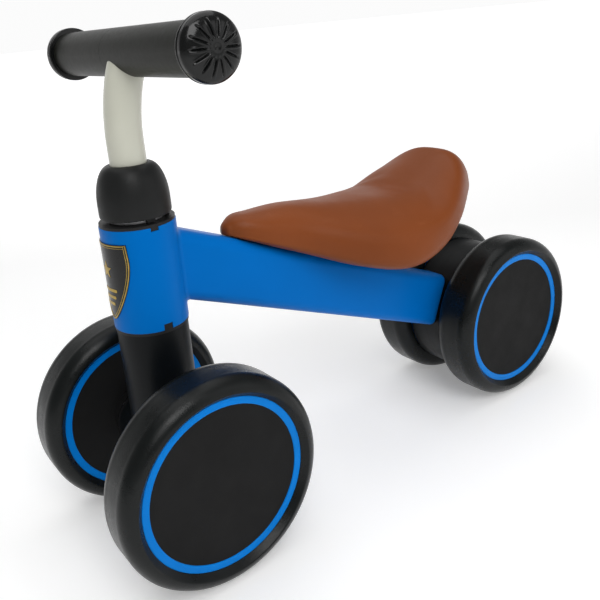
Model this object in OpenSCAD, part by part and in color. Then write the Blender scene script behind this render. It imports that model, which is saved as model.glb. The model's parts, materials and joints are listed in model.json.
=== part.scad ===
// Balance bike for a toddler: four solid wheels, a sloping tube frame, a moulded saddle and a
// steered fork with a straight handlebar.
// +X is forward, +Y is the rider's left and +Z is up. The origin is on the ground, midway
// between the two axles. All lengths are in millimetres.

/* [Overall] */
// Distance between the front and rear axles
wheelbase = 338; // [300:2:410]
// Distance between the middles of the two front wheels
front_track = 130; // [120:1:160]
// Gap between the main tube's side and each rear tyre
rear_gap = 5.3; // [4:0.1:20]

/* [Wheels] */
// Diameter over the tyre
wheel_d = 150; // [134:1:180]
// Width of the tyre
tyre_w = 38; // [34:1:44]
// Radius of the tyre's two rounded shoulders
tyre_shoulder = 11; // [4:0.5:13]
// Thickness of the tyre, from the wheel centre to the tread
tyre_t = 13.9; // [12:0.1:24]
// Width of the coloured ring that shows between the tyre and the cover disc
ring_w = 5.4; // [3:0.2:9]
// How far the ring lies inside the tyre's side face
ring_inset = 4.4; // [2:0.2:6]
// Thickness of each cover disc
cover_t = 2; // [1.6:0.2:3]

/* [Bearings and axles] */
// Diameter of both axle shafts
axle_d = 8; // [6:0.5:10]
// Outside diameter of a wheel bearing
bearing_d = 22; // [18:0.5:24]
// Width of a wheel bearing
bearing_w = 7; // [5:0.5:8]
// How far the round boss on a wheel's inner side stands out from the cover disc
boss_h = 6.6; // [4:0.2:8]

/* [Head tube and fork] */
// Height of the head tube's lower end above the top of the tyres
head_clearance = 19.4; // [10:0.2:40]
// Length of the head tube
head_len = 72; // [60:1:95]
// Outside diameter of the head tube
head_d = 52; // [48:1:64]
// Wall of the head tube
head_wall = 3; // [2:0.5:4]
// Outside diameter of the fork tube
fork_d = 50; // [44:1:62]
// Wall of the fork tube and of the cross tube
fork_wall = 2.5; // [1.5:0.5:4]
// Wall of the steerer, which turns in the two bushes
steerer_wall = 2.6; // [2:0.1:4]
// Steering angle to each side
steer_limit = 67.5; // [40:2.5:70]

/* [Main tube] */
// Height of the rectangular main tube, square to its length
tube_h = 48.5; // [40:0.5:58]
// Width of the main tube
tube_w = 30; // [24:1:36]
// Wall of the main tube
tube_wall = 2; // [1.5:0.5:3]
// Outside radius of the main tube's long edges
tube_corner = 9; // [5:0.5:11]
// Height of the tube's middle line above the head tube's lower end, at the steering axis
tube_rise = 45.8; // [38:0.2:52]

/* [Rear cover] */
// How far the drum cover between the rear wheels lies inside their tread
drum_inset = 13; // [6:0.5:20]
// Gap between the drum cover and each rear tyre
drum_gap = 1.3; // [1:0.1:4]
// Wall of the drum cover
drum_wall = 2; // [1.6:0.2:3]

/* [Handlebar] */
// Diameter of the handlebar post
post_d = 24.6; // [20:0.2:30]
// Height above the head tube at which the post starts to bend
post_rise = 54.5; // [45:0.5:80]
// Angle by which the post leans back at its top
post_bend = 25; // [15:1:30]
// Bend radius of the post, to its middle line
post_bend_r = 130; // [90:1:150]
// Overall length of the handlebar
bar_len = 215; // [180:1:260]
// Diameter of the grips
grip_d = 31.4; // [28:0.2:36]
// Diameter of the end caps
cap_d = 38; // [34:0.5:44]
// Thickness of an end cap, rim and dome together
cap_t = 12; // [8:0.5:16]

/* [Bell cover] */
// How far the bell-shaped cover lies inside the head tube's outside
bell_inset = 1.7; // [0.5:0.1:2]
// Height of the bell-shaped cover
bell_h = 34.5; // [30:0.5:44]
// Wall of the bell-shaped cover
bell_wall = 1.8; // [1.4:0.2:2.4]

/* [Saddle] */
// Overall length of the saddle
saddle_len = 267; // [225:1:325]
// Place of the saddle's nose, forward of the bike's middle
saddle_front = 104.5; // [90:1:120]
// Widest half-width of the saddle
saddle_half_w = 66; // [52:1:80]
// Thickness of the board under the pad
board_t = 4.5; // [3:0.5:6]
// Thickness of the steel bracket under the board
bracket_t = 3; // [2:0.5:4]

/* [Hidden] */
$fn = 72;
eps = 0.01;
edge_c = 0.4;        // chamfer on visible edges
fit_gap = 0.05;      // between pieces of one body that seat on each other
run_gap = 0.05;      // radial clearance of a shaft that turns
body_gap = 0.3;      // between faces of two bodies that move past each other

// Wheels
wheel_r = wheel_d / 2;
rim_r = wheel_r - tyre_t;
ring_r = rim_r - ring_w;
axle_z = wheel_r;
axle_r = axle_d / 2;
front_x = wheelbase / 2;
rear_x = -wheelbase / 2;
front_y = front_track / 2;
rear_y = tube_w / 2 + rear_gap + tyre_w / 2;
ring_z = tyre_w / 2 - ring_inset;      // ring face, from the wheel's middle plane
cover_z = ring_z - 0.6;                // outer face of a cover disc
cover_in_z = cover_z - cover_t;        // inner face of a cover disc
tyre_bevel = 0.26 * (wheel_r - rim_r);  // width of the tyre's bevel down to the ring
web_t = 5;
bearing_r = bearing_d / 2;
hub_r = bearing_r + 2.5;
hub_in_z = -cover_in_z + 0.2;          // hub's inner end
bearing_in_z = hub_in_z + 0.2;         // inner end of the inner bearing
axle_head_h = 3.7;
axle_flange_t = 1;
axle_end_z = cover_in_z - 0.4 - axle_head_h - axle_flange_t; // shaft end, from the middle plane
bearing_out_z = axle_end_z - body_gap; // outer end of the outer bearing
hub_out_z = bearing_out_z + 0.2;
boss_z = cover_z + boss_h;             // boss face, from the middle plane
nose_r = axle_r + 2.5;                 // spacer nose between the fixed parts and a bearing
boss_bore_r = nose_r + 3;
screw_r = 1.8;                         // cover and drum screws
screw_head_r = 3.4;
screw_head_h = 2.4;
screw_boss_r = 3.2;
cover_screw_n = 4;
cover_screw_pitch = hub_r + screw_boss_r + 0.5;
boss_r = cover_screw_pitch + screw_head_r + 0.9;
hub_gap = 2.5;                         // between a wheel's screws and the fixed parts beside it

// Axle ends
axle_screw_r = axle_r - 1.5;
axle_screw_len = 16;
axle_flange_r = axle_r + 3.5;
axle_head_r = axle_r + 1.4;

// Head tube, bushes and fork
head_z = wheel_d + head_clearance;
head_top = head_z + head_len;
head_r = head_d / 2;
head_in_r = head_r - head_wall;
fork_r = fork_d / 2;
fork_in_r = fork_r - fork_wall;
post_r = post_d / 2;
steerer_in_r = post_r + 0.1;
steerer_r = steerer_in_r + steerer_wall;
bush_flange_t = 2;
bush_flange_r = head_r - 0.4;
bush_len = 14;
fork_top = head_z - bush_flange_t - body_gap;
crown_t = 10;
crosstube_r = fork_r - 1.5;
crosstube_in_r = crosstube_r - fork_wall;
cap_flange_t = 3;
crosstube_half = front_y - boss_z - screw_head_h - hub_gap - cap_flange_t;
top_notch = [5.7, 2.5];                // width and depth of the notch at the top edge
low_notch = [6.6, 4.5];                // the same at the bottom edge
tab_gap = 0.3;

// Steering stop
bell_r = head_r - bell_inset;
bell_in_r = bell_r - bell_wall;
stop_r = [                             // inner and outer radius of the legs
    steerer_r + 0.56 * (bell_in_r - steerer_r),
    bell_in_r - 0.9
];
stop_half = 12;                        // half-angle of the fixed block
leg_half = 8;                          // half-angle of a leg
stop_play = 0.5;                       // angle left between block and leg at the limit
leg_angle = steer_limit + stop_half + leg_half + stop_play;
washer_t = 1.5;
flange_top = head_top + bush_flange_t;
bell_z = head_top + 5;
stop_ring_t = 3;
collar_z = bell_z + 1 + stop_ring_t + 0.5;
collar_t = 12;
collar_r = steerer_r + 3;
ear_half = 6;                          // half-width of the collar's ears
ear_x = collar_r + 0.8;                // how far the ears reach from the steering axis
clamp_screw_x = steerer_r + 1.9;
clamp_screw_r = 1.5;
steerer_top = collar_z + collar_t;

// Main tube
tube_low_z = axle_z - 0.6;             // middle line above the rear axle
tube_high_z = head_z + tube_rise;      // middle line at the steering axis
tube_a = atan((tube_high_z - tube_low_z) / wheelbase);
tube_half = tube_h / 2;
flare_len = 7;                         // weld fillet between the main tube and the head tube
flare = 1;
bracket_in = 40;                       // how far the inner tube reaches into the main tube
bracket_wall = 2.5;

// Rear cover
drum_r = wheel_r - drum_inset;
drum_half = rear_y - tyre_w / 2 - drum_gap;
drum_opening_r = boss_r + 4.5;
drum_post_r = 4.2;
tube_cope_r = drum_r + 4;

// Rear axle tube
rear_tube_r = 15;
rear_tube_in_r = 12.5;
rear_flange_t = 1.5;
rear_tube_half = rear_y - boss_z - screw_head_h - hub_gap - rear_flange_t;

// Handlebar
bend_z = head_top + post_rise;
bar_z = bend_z + post_bend_r * sin(post_bend);
bar_x = front_x - post_bend_r * (1 - cos(post_bend));
post_wall = 2;
post_low = head_top - 36;
grip_r = grip_d / 2;
core_r = grip_r - 3.2;
core_in_r = core_r - 2;
cap_y = bar_len / 2 - cap_t;           // inner face of an end cap
spigot_len = 16;
seam_y = -post_r + 0.4;                // where the two grips meet
seam_gap = 0.3;

// Saddle, as stations from nose to tail:
// [share of the length, share of the widest half-width,
//  edge, top and bottom height above the main tube's top line]
saddle_nose = [0, 0, 3, 4, 2];
saddle_tail = [1, 0, 105, 106, 104];
saddle_ribs = [
    saddle_nose,
    [0.006, 0.10, 3.1, 10, 1.5],
    [0.02, 0.18, 3.4, 15, 1],
    [0.05, 0.25, 4.6, 19.5, 0.6],
    [0.10, 0.32, 6, 24.5, -0.4],
    [0.21, 0.46, 8, 35.5, -2.6],
    [0.36, 0.81, 9, 45, -3.4],
    [0.50, 1, 21, 57, 1],
    [0.635, 0.97, 47, 72, 19],
    [0.745, 0.83, 71, 99, 45],
    [0.855, 0.56, 92, 119.5, 70],
    [0.95, 0.26, 102, 113, 92],
    saddle_tail
];
rib_steps = 4;                         // rings between two stations
ring_n = 28;                           // points around a ring
board_nose_s = saddle_place(0.115) / cos(tube_a);
board_tail_s = saddle_place(0.42) / cos(tube_a);
board_nose_r = saddle_half_w * 0.19;
board_tail_r = saddle_half_w * 0.65;
board_slope = (board_tail_r - board_nose_r) / (board_nose_s - board_tail_s);
bracket_half_w = tube_w / 2 + 8;
bracket_s = [                          // ends of the bracket along the tube, inside the board
    board_tail_s - sqrt(pow(board_tail_r, 2) - pow(bracket_half_w, 2)) + 0.5,
    board_nose_s - (bracket_half_w - board_nose_r) / board_slope
];
saddle_screw_s = [bracket_s[0] + 12, bracket_s[1] - 12];
saddle_screw_y = tube_w / 2 + 4.2;
saddle_screw_r = 2;
saddle_screw_head = 3.6;
saddle_head_t = 1.1;

// Badge on the head tube: [half-width, height above the badge's point]
badge_low = 8.5;                       // point of the shield above the head tube's lower end
badge_h = 54.5;
badge_half_w = 19.6;
badge_t = 0.8;

// ---------- helpers ----------

// Solid between two radii and two heights, around Z
module ring(r_in, r_out, z_low, z_high) {
    difference() {
        translate([0, 0, z_low]) cylinder(r = r_out, h = z_high - z_low);
        translate([0, 0, z_low - 1]) cylinder(r = r_in, h = z_high - z_low + 2);
    }
}

// Ring with a small chamfer on the outer and inner edges of both ends
module edged_ring(r_in, r_out, z_low, z_high, c) {
    rotate_extrude() polygon([
        [r_in, z_low + c], [r_in + c, z_low], [r_out - c, z_low], [r_out, z_low + c],
        [r_out, z_high - c], [r_out - c, z_high], [r_in + c, z_high], [r_in, z_high - c]
    ]);
}

// Solid cylinder between two heights, around Z
module rod(r, z_low, z_high) {
    translate([0, 0, z_low]) cylinder(r = r, h = z_high - z_low);
}

// Part of a ring within a half-angle of the direction +X
module sector(r_in, r_out, z_low, z_high, half) {
    reach = r_out * 2;
    intersection() {
        ring(r_in, r_out, z_low, z_high);
        translate([0, 0, z_low - 1]) linear_extrude(z_high - z_low + 2)
            polygon([
                [0, 0],
                [reach * cos(half), -reach * sin(half)],
                [reach * cos(half), reach * sin(half)]
            ]);
    }
}

// Rectangle with round corners, centred
module round_rect(w, h, r) {
    square([w - 2 * r, h], center = true);
    square([w, h - 2 * r], center = true);
    for (sx = [-1, 1], sy = [-1, 1])
        translate([sx * (w / 2 - r), sy * (h / 2 - r)]) circle(r = r);
}

// Places children made around Z on the bike's steering axis
module steering_axis() {
    translate([front_x, 0, 0]) children();
}

// Places children made around Z on a wheel's middle, with +Z pointing away from the bike
module wheel_place(x, half_track, side) {
    translate([x, side * half_track, axle_z]) rotate([-90 * side, 0, 0]) children();
}

// Repeats children on both sides of an axle, with +Z pointing outwards from the bike's middle
module both_ends(x) {
    for (side = [-1, 1]) wheel_place(x, 0, side) children();
}

// Places children in the main tube's frame: +X forward along the tube, +Z square to it,
// origin on the tube's middle line above the rear axle
module tube_frame() {
    translate([rear_x, 0, tube_low_z]) rotate([0, -tube_a, 0]) children();
}

// Places children in the saddle's frame: +X forward along the tube, origin on the tube's top
// line below the bike's middle
module saddle_frame() {
    tube_frame() translate([-rear_x / cos(tube_a) + tube_half * tan(tube_a), 0, tube_half])
        children();
}

// Place along the bike at a share of the saddle's length
function saddle_place(share) = saddle_front - share * saddle_len;

// Height of the main tube's top line at a place along the bike
function tube_top(x) = tube_low_z + (x - rear_x) * tan(tube_a) + tube_half / cos(tube_a);

// ---------- wheels ----------

module tyre() {
    half = tyre_w / 2;
    r = tyre_shoulder;
    bore = rim_r + fit_gap;
    color("#2d3030") rotate_extrude() difference() {
        union() {
            translate([bore, -half]) square([wheel_r - r - bore, tyre_w]);
            translate([bore, r - half]) square([wheel_r - bore, tyre_w - 2 * r]);
            intersection() {
                for (s = [-1, 1]) translate([wheel_r - r, s * (half - r)]) circle(r = r);
                translate([bore, -half]) square([wheel_r, tyre_w]);
            }
        }
        for (s = [-1, 1]) polygon([
            [bore - 1, s * (ring_z + 0.1)], [bore, s * (ring_z + 0.1)],
            [bore + tyre_bevel, s * half], [bore + tyre_bevel, s * (half + 1)],
            [bore - 1, s * (half + 1)]
        ]);
    }
}

module screw_places() {
    for (i = [0 : cover_screw_n - 1])
        rotate([0, 0, 45 + i * 360 / cover_screw_n])
            translate([cover_screw_pitch, 0, 0]) children();
}

module rim() {
    color("#0082e1") difference() {
        union() {
            edged_ring(ring_r, rim_r, -ring_z, ring_z, edge_c);
            ring(bearing_r - 2, ring_r + 1, -web_t / 2, web_t / 2);
            ring(bearing_r - 2, hub_r, hub_in_z, hub_out_z);
        }
        rod(bearing_r + fit_gap, hub_in_z - 1, bearing_in_z + bearing_w);
        rod(bearing_r + fit_gap, bearing_out_z - bearing_w, hub_out_z + 1);
        screw_places() rod(screw_r + 0.3, -web_t, web_t);
    }
}

module outer_cover() {
    color("#242424") {
        difference() {
            union() {
                rod(ring_r - fit_gap, cover_in_z, cover_z);
                screw_places() rod(screw_boss_r, web_t / 2 + fit_gap, cover_in_z + eps);
            }
            screw_places() rod(screw_r + fit_gap, 0, cover_in_z - 0.5);
        }
    }
}

module inner_cover() {
    color("#242424") difference() {
        union() {
            ring(boss_bore_r, ring_r - fit_gap, -cover_z, -cover_in_z);
            ring(boss_bore_r, boss_r, -boss_z, -cover_z + eps);
        }
        screw_places() rod(screw_r + fit_gap, -boss_z - 1, 0);
    }
}

module cover_screws() {
    color("silver") screw_places() {
        rod(screw_r, -boss_z - eps, cover_in_z - 1);
        difference() {
            rod(screw_head_r, -boss_z - screw_head_h, -boss_z);
            for (turn = [0, 90]) rotate([0, 0, turn])
                translate([-2, -0.4, -boss_z - screw_head_h - 1]) cube([4, 0.8, 2.2]);
        }
    }
}

// One bearing, standing on z = 0
module bearing() {
    ring(axle_r + run_gap, axle_r + 2, 0, bearing_w);
    ring(bearing_r - 2, bearing_r, 0, bearing_w);
    ring(axle_r + 2 - eps, bearing_r - 2 + eps, 0.5, bearing_w - 0.5);
}

module bearings() {
    color("silver") {
        translate([0, 0, bearing_in_z]) bearing();
        translate([0, 0, bearing_out_z - bearing_w]) bearing();
    }
}

// ---------- axles ----------

// Shaft with a screw hole in each end
module axle(x, half_track) {
    color("silver") difference() {
        wheel_place(x, 0, 1)
            rod(axle_r, -half_track - axle_end_z, half_track + axle_end_z);
        both_ends(x) rod(
            axle_screw_r + fit_gap,
            half_track + axle_end_z - axle_screw_len - 1,
            half_track + axle_end_z + 1
        );
    }
}

// Flanged hex screw in each end of a shaft
module axle_screws(x, half_track) {
    color("silver") both_ends(x) translate([0, 0, half_track + axle_end_z]) {
        rod(axle_screw_r, -axle_screw_len, eps);
        rod(axle_flange_r, 0, axle_flange_t);
        translate([0, 0, axle_flange_t - eps]) cylinder(r = axle_head_r, h = axle_head_h, $fn = 6);
    }
}

// Flanged plug with a spacer nose, in each end of a cross tube
module end_plugs(x, half_track, tube_end, tube_in_r, flange_r, flange_t, depth) {
    color("#202020") both_ends(x) difference() {
        union() {
            rod(tube_in_r - fit_gap, tube_end - depth, tube_end + fit_gap + eps);
            rod(flange_r, tube_end + fit_gap, tube_end + flange_t);
            rod(nose_r, tube_end, half_track + bearing_in_z - body_gap);
        }
        rod(axle_r + fit_gap, 0, half_track);
    }
}

// ---------- frame ----------

module head_tube() {
    color("#006ec8") steering_axis() difference() {
        edged_ring(head_in_r, head_r, head_z, head_top, edge_c);
        translate([-top_notch[0] / 2, 0, head_top - top_notch[1]])
            cube([top_notch[0], head_d, head_len]);
        translate([-low_notch[0] / 2, 0, head_z - head_len])
            cube([low_notch[0], head_d, head_len + low_notch[1]]);
    }
}

// Slab of the main tube's section, grown by a margin, at a place along the tube
module tube_slab(s, t, w, h, r) {
    translate([s, 0, 0]) rotate([90, 0, 90]) linear_extrude(t) round_rect(w, h, r);
}

module main_tube() {
    head_s = wheelbase / cos(tube_a);
    flare_s = head_s - head_r - flare_len;
    color("#006ec8") difference() {
        tube_frame() {
            tube_slab(0, head_s, tube_w, tube_h, tube_corner);
            hull() {
                tube_slab(flare_s - 1, 1, tube_w, tube_h, tube_corner, $fn = 32);
                tube_slab(
                    flare_s + flare_len, head_r, tube_w + flare / 2, tube_h + 2 * flare,
                    tube_corner, $fn = 32
                );
            }
        }
        tube_frame() tube_slab(
            -1, head_s + 2, tube_w - 2 * tube_wall, tube_h - 2 * tube_wall,
            tube_corner - tube_wall
        );
        steering_axis() rod(head_r + fit_gap, 0, head_top * 2);
        translate([rear_x, 0, axle_z]) rotate([90, 0, 0])
            cylinder(r = tube_cope_r, h = tube_w * 2, center = true);
    }
}

module rear_bracket() {
    w = tube_w - 2 * tube_wall - 2 * fit_gap;
    h = tube_h - 2 * tube_wall - 2 * fit_gap;
    r = tube_corner - tube_wall;
    length = tube_cope_r + bracket_in;
    thin = 2 * bracket_wall;
    color("#1c1c1c") difference() {
        tube_frame() difference() {
            tube_slab(0, length, w, h, r);
            tube_slab(-1, length + 2, w - thin, h - thin, r - bracket_wall);
        }
        wheel_place(rear_x, 0, 1) rod(rear_tube_r + fit_gap, -tube_w, tube_w);
        translate([rear_x - wheelbase, -tube_w, 0]) cube([wheelbase, tube_w * 2, wheel_d]);
    }
}

module rear_axle_tube() {
    color("#1c1c1c") wheel_place(rear_x, 0, 1)
        ring(rear_tube_in_r, rear_tube_r, -rear_tube_half, rear_tube_half);
}

// Places of the drum's screws, around the direction of the main tube
module drum_screw_places() {
    for (a = [65, 140, 220, 295])
        rotate([0, 0, a]) translate([drum_r - drum_wall - 8, 0, 0]) children();
}

// One shell of the drum cover
module drum_shell(side) {
    screw_out = side > 0 ? drum_half + 1 : drum_half - drum_wall - 1;
    collar_out_r = drum_opening_r + drum_wall;
    color("#2d3030") difference() {
        wheel_place(rear_x, 0, side) rotate([0, 0, -side * tube_a]) difference() {
            union() {
                ring(drum_r - drum_wall, drum_r, fit_gap, drum_half);
                ring(drum_opening_r, drum_r - eps, drum_half - drum_wall, drum_half);
                ring(drum_opening_r, collar_out_r, drum_half - 8, drum_half - eps);
                drum_screw_places() rod(drum_post_r, fit_gap, drum_half - eps);
            }
            drum_screw_places() {
                rod(screw_r + fit_gap, -1, screw_out);
                if (side > 0)
                    rod(screw_head_r + 0.3, drum_half - screw_head_h - 0.2, drum_half + 1);
            }
        }
        tube_frame() tube_slab(
            -1, tube_cope_r, tube_w - 2 * tube_wall + 0.4, tube_h - 2 * tube_wall + 0.4,
            tube_corner - tube_wall
        );
    }
}

module rear_cover_screws() {
    color("silver") wheel_place(rear_x, 0, 1) rotate([0, 0, -tube_a]) drum_screw_places() {
        rod(screw_r, -drum_half + drum_wall + 2, drum_half - screw_head_h);
        rod(screw_head_r, drum_half - screw_head_h - 0.1, drum_half - 0.2);
    }
}

// Steering bush: flange, spigot and tab, standing on z = 0 with its spigot downwards
module bush(notch) {
    difference() {
        union() {
            rod(bush_flange_r, 0, bush_flange_t);
            rod(head_in_r - fit_gap, -bush_len, eps);
            intersection() {
                translate([tab_gap - notch[0] / 2, 0, tab_gap - notch[1]])
                    cube([notch[0] - 2 * tab_gap, head_d, notch[1]]);
                rod(bush_flange_r, -bush_len, 1);
            }
        }
        rod(steerer_r + run_gap, -bush_len - 1, bush_flange_t + 1);
    }
}

module upper_bush() {
    color("#181818") steering_axis() translate([0, 0, head_top]) {
        bush(top_notch);
        rotate([0, 0, 180]) sector(
            stop_r[0], stop_r[1] + 1, bush_flange_t - eps, bush_flange_t + 2.7, stop_half
        );
    }
}

module lower_bush() {
    color("#181818") steering_axis() translate([0, 0, head_z]) mirror([0, 0, 1])
        bush(low_notch);
}

// Outline of the badge: straight top, sides that curve in to a point
function badge_side(t) = [badge_half_w * pow(cos(90 * t), 0.62), badge_h * (1 - t) * 0.8];

module shield() {
    side = [for (i = [0 : 12]) badge_side(i / 12)];
    other = [for (i = [11 : -1 : 0]) [-side[i][0], side[i][1]]];
    top = [[-badge_half_w * 0.97, badge_h], [badge_half_w * 0.97, badge_h]];
    polygon(concat(side, other, top));
}

module head_badge() {
    color("#141414") steering_axis() intersection() {
        ring(head_r + fit_gap, head_r + fit_gap + badge_t, head_z, head_top);
        translate([0, 0, head_z + badge_low]) rotate([90, 0, 90])
            linear_extrude(head_d) shield();
    }
}

// ---------- saddle ----------

// Smooth curve through the stations, one Catmull-Rom piece between each two
function clamp_i(i) = max(0, min(len(saddle_ribs) - 1, i));
function blend4(a, b, c, d, t) = 0.5 * (
    2 * b + (c - a) * t + (2 * a - 5 * b + 4 * c - d) * t * t
    + (3 * b - a - 3 * c + d) * t * t * t
);
function rib_at(i, t) = blend4(
    saddle_ribs[clamp_i(i - 1)], saddle_ribs[i],
    saddle_ribs[clamp_i(i + 1)], saddle_ribs[clamp_i(i + 2)], t
);

// A point of the saddle's section at an angle from its widest line
function power(v, e) = sign(v) * pow(abs(v), e);
function rib_point(rib, a) =
    let (
        c = power(cos(a), 0.75),
        s = sin(a) >= 0 ? pow(sin(a), 0.9) : -pow(-sin(a), 0.5),
        rise = sin(a) >= 0 ? rib[3] - rib[2] : rib[2] - rib[4],
        x = saddle_place(rib[0])
    )
    [x, saddle_half_w * rib[1] * c, tube_top(x) + rib[2] + rise * s];

module saddle_loft() {
    last = len(saddle_ribs) - 1;
    rings = [
        for (i = [0 : last - 1], k = [0 : rib_steps - 1])
            if (i > 0 || k > 0) rib_at(i, k / rib_steps)
    ];
    count = len(rings);
    points = concat(
        [for (rib = rings, j = [0 : ring_n - 1]) rib_point(rib, j * 360 / ring_n)],
        [rib_point(saddle_nose, 0), rib_point(saddle_tail, 0)]
    );
    nose = count * ring_n;
    tail = nose + 1;
    sides = [
        for (i = [0 : count - 2], j = [0 : ring_n - 1])
            let (a = i * ring_n + j, b = i * ring_n + (j + 1) % ring_n)
            each [[a, b, b + ring_n], [a, b + ring_n, a + ring_n]]
    ];
    front = [for (j = [0 : ring_n - 1]) [nose, (j + 1) % ring_n, j]];
    back = [
        for (j = [0 : ring_n - 1])
            let (base = (count - 1) * ring_n)
            [tail, base + j, base + (j + 1) % ring_n]
    ];
    polyhedron(points, concat(sides, front, back));
}

// Outline of the board under the pad, grown by a margin
module board_outline(margin) {
    hull() {
        translate([board_nose_s, 0]) circle(r = board_nose_r + margin, $fn = 32);
        translate([board_tail_s, 0]) circle(r = board_tail_r + margin, $fn = 32);
    }
}

module saddle_pad() {
    color("#8c4e2e") difference() {
        saddle_loft();
        saddle_frame() translate([0, 0, -tube_half])
            linear_extrude(tube_half + bracket_t + board_t + 0.4) board_outline(0.4);
    }
}

module saddle_screw_places() {
    for (s = saddle_screw_s, side = [-1, 1])
        translate([s, side * saddle_screw_y, 0]) children();
}

module saddle_base() {
    color("#1a1a1a") saddle_frame() difference() {
        translate([0, 0, bracket_t + 2 * fit_gap]) linear_extrude(board_t) board_outline(0);
        saddle_screw_places() rod(saddle_screw_r + fit_gap, 0, bracket_t + board_t - 1);
    }
}

module saddle_bracket() {
    color("#1c1c1c") saddle_frame() difference() {
        translate([bracket_s[0], -bracket_half_w, fit_gap])
            cube([bracket_s[1] - bracket_s[0], 2 * bracket_half_w, bracket_t]);
        saddle_screw_places() rod(saddle_screw_r + fit_gap, -1, bracket_t + 1);
    }
}

module saddle_screws() {
    color("silver") saddle_frame() saddle_screw_places() {
        rod(saddle_screw_r, -eps, bracket_t + board_t - 1.5);
        rod(saddle_screw_head, -saddle_head_t, 0);
    }
}

// ---------- steering assembly ----------

module fork_tube() {
    color("#262829") difference() {
        steering_axis() ring(fork_in_r, fork_r, axle_z + 6, fork_top);
        wheel_place(front_x, 0, 1) rod(crosstube_r + fit_gap, -fork_d, fork_d);
    }
}

module fork_crown() {
    color("#262829") steering_axis()
        ring(steerer_r + fit_gap, fork_in_r - fit_gap, fork_top - crown_t, fork_top);
}

module steerer_tube() {
    color("silver") steering_axis()
        ring(steerer_in_r, steerer_r, fork_top - crown_t, steerer_top);
}

module front_crosstube() {
    color("#262829") wheel_place(front_x, 0, 1)
        ring(crosstube_in_r, crosstube_r, -crosstube_half, crosstube_half);
}

module steering_washer() {
    color("gainsboro") steering_axis() ring(
        steerer_r + fit_gap, stop_r[0] - 0.5, flange_top + body_gap,
        flange_top + body_gap + washer_t
    );
}

module stop_ring() {
    ring_low = bell_z + 1;
    color("#181818") steering_axis() {
        ring(steerer_r + fit_gap, bell_in_r - 0.8, ring_low, ring_low + stop_ring_t);
        for (side = [-1, 1]) rotate([0, 0, 180 + side * leg_angle])
            sector(stop_r[0], stop_r[1], flange_top + 0.4, ring_low + 1, leg_half);
    }
}

// Cross cylinder through the ears of the clamp collar
module clamp_bolt(r, half) {
    translate([-clamp_screw_x, 0, collar_z + collar_t / 2]) rotate([90, 0, 0])
        cylinder(r = r, h = 2 * half, center = true);
}

module clamp_collar() {
    color("#3a3a3a") steering_axis() difference() {
        union() {
            ring(steerer_r + fit_gap, collar_r, collar_z, collar_z + collar_t);
            translate([-ear_x, -ear_half, collar_z]) cube([5, 2 * ear_half, collar_t]);
        }
        rod(steerer_r + fit_gap, collar_z - 1, collar_z + collar_t + 1);
        translate([-head_r, -1, collar_z - 1]) cube([head_r, 2, collar_t + 2]);
        clamp_bolt(clamp_screw_r + fit_gap, head_r);
    }
}

module clamp_screw() {
    color("silver") steering_axis() clamp_bolt(clamp_screw_r, ear_half + 0.5);
}

// Outline of the bell cover as a curve from its mouth to its neck, moved inwards
function bell_curve(inset) =
    let (
        top_r = post_r + 1.2,
        straight = bell_h * 0.28,
        r = bell_r - inset
    )
    [
        [r - 0.7, 0],
        [r, 2.5],
        for (i = [0 : 10])
            let (a = i * 9)
            [
                r - (bell_r - top_r) * (1 - cos(a)),
                straight + (bell_h - straight - inset) * sin(a)
            ]
    ];

module bell_cover() {
    outside = bell_curve(0);
    inside = bell_curve(bell_wall);
    color("#2d2d2d") steering_axis() translate([0, 0, bell_z]) difference() {
        rotate_extrude() polygon(concat([[0, 0]], outside, [[0, bell_h]]));
        rotate_extrude() polygon(concat([[0, -1]], [[inside[0][0], -1]], inside,
            [[0, bell_h - bell_wall]]));
        rod(post_r + 0.2, 0, bell_h + 1);
    }
}

// Solid along the post's middle line, from a low end up through the bend and on by an angle
module post_path(r, low, extra) {
    steering_axis() rod(r, low, bend_z);
    translate([front_x - post_bend_r, 0, bend_z]) rotate([90, 0, 0])
        rotate_extrude(angle = post_bend + extra) translate([post_bend_r, 0]) circle(r = r);
}

module bar_axis() {
    translate([bar_x, 0, bar_z]) rotate([-90, 0, 0]) children();
}

module handlebar_post() {
    color("#c8c6b9") difference() {
        post_path(post_r, post_low, 0);
        post_path(post_r - post_wall, post_low - 1, 1);
        bar_axis() rod(core_r + fit_gap, -post_d, post_d);
    }
}

module handlebar_core() {
    color("#c8c6b9") bar_axis() ring(core_in_r, core_r, 2 - cap_y, cap_y - 2);
}

// One grip between two places along the bar, cut round the post
module grip(low, high) {
    color("#3c3c38") difference() {
        bar_axis() ring(core_r + fit_gap, grip_r, low, high);
        post_path(post_r + 2 * fit_gap, bend_z - 20, 4);
    }
}

// End cap: rim, dome and a spigot into the bar's core
module end_cap(side) {
    rim_t = 5;
    dome = [
        for (i = [0 : 12])
            let (a = i * 7.5)
            [cap_d / 2 * pow(cos(a), 0.85), rim_t + (cap_t - rim_t) * pow(sin(a), 0.95)]
    ];
    color("#1c1c1c") translate([bar_x, side * (cap_y + fit_gap), bar_z])
        rotate([-90 * side, 0, 0]) {
            rotate_extrude()
                polygon(concat([[0, 0], [cap_d / 2 - 0.6, 0], [cap_d / 2, 0.6]], dome));
            rod(core_in_r - fit_gap, -spigot_len, eps);
        }
}

// ---------- the bike ----------

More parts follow.
